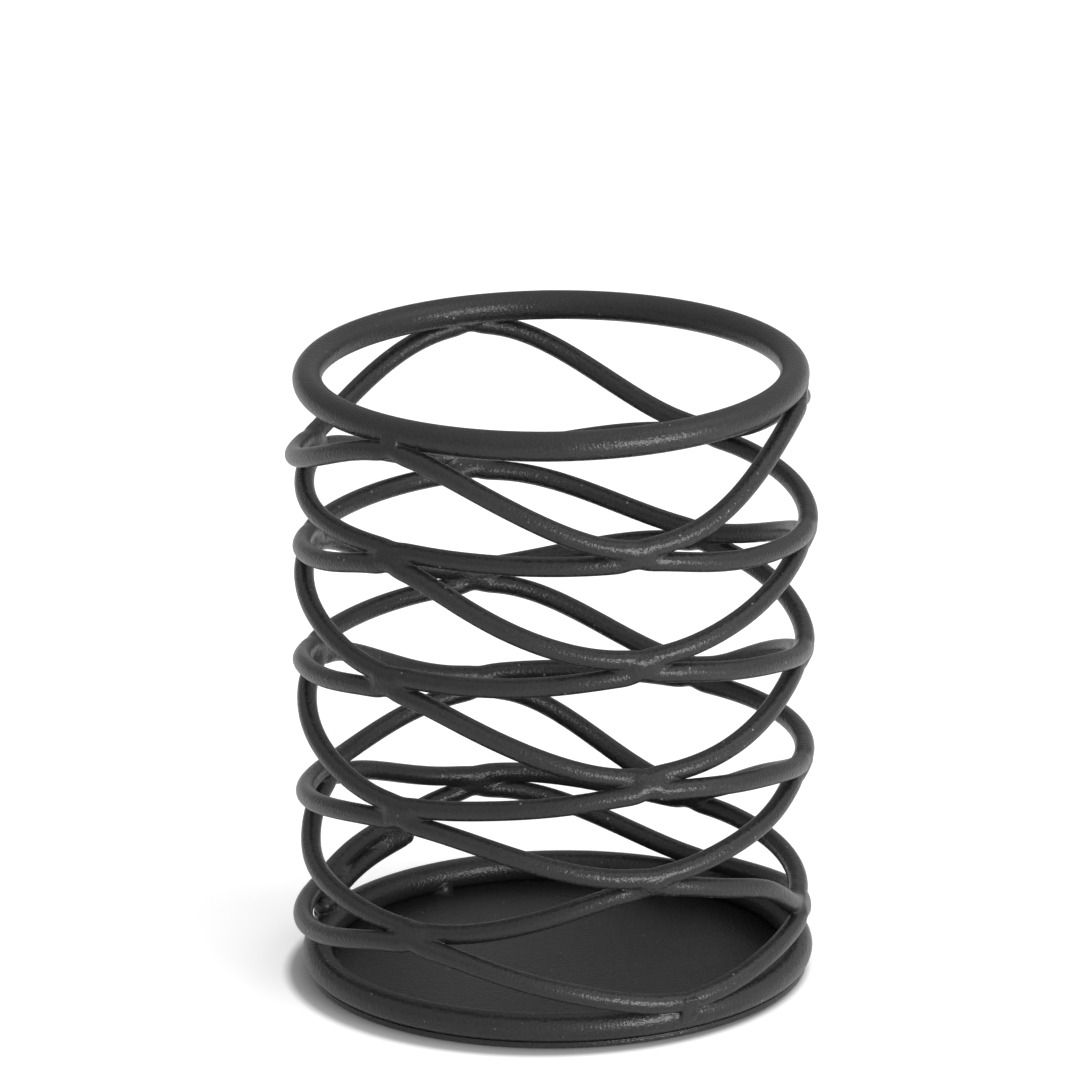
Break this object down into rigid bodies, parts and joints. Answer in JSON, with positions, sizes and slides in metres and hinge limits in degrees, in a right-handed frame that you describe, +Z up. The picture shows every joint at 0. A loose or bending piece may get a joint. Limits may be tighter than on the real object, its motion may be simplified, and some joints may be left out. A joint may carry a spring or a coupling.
{
  "type": "sugar packet holder",
  "caption": "Round, open-topped holder for sugar packets: thick wire rims joined by stacked wave rings of thin wire, on a flat disc base, all powder coated.",
  "frame": {"origin": "centre of the base disc's underside, on the table", "axes": "+Z up along the holder's axis; -Y is the front that the picture shows, +X is to its right"},
  "size_m": [0.0852, 0.0858, 0.102],
  "materials": {
    "coat": "charcoal powder coat with a fine texture, satin, over steel"
  },
  "bodies": {
    "root": {"rim_ring": "coat", "wave_ring_1": "coat", "wave_ring_2": "coat", "wave_ring_3": "coat", "wave_ring_4": "coat", "wave_ring_5": "coat", "wave_ring_6": "coat", "wave_ring_7": "coat", "wave_ring_8": "coat", "wave_ring_9": "coat", "ring_tail": "coat", "foot_ring": "coat", "base_disc": "coat", "rim_welds": "coat", "wave_welds_1_2": "coat", "wave_welds_2_3": "coat", "wave_welds_3_4": "coat", "wave_welds_4_5": "coat", "wave_welds_5_6": "coat", "wave_welds_6_7": "coat", "wave_welds_7_8": "coat", "wave_welds_8_9": "coat", "foot_welds": "coat", "tail_welds": "coat", "base_welds": "coat"}
  },
  "joints": []
}
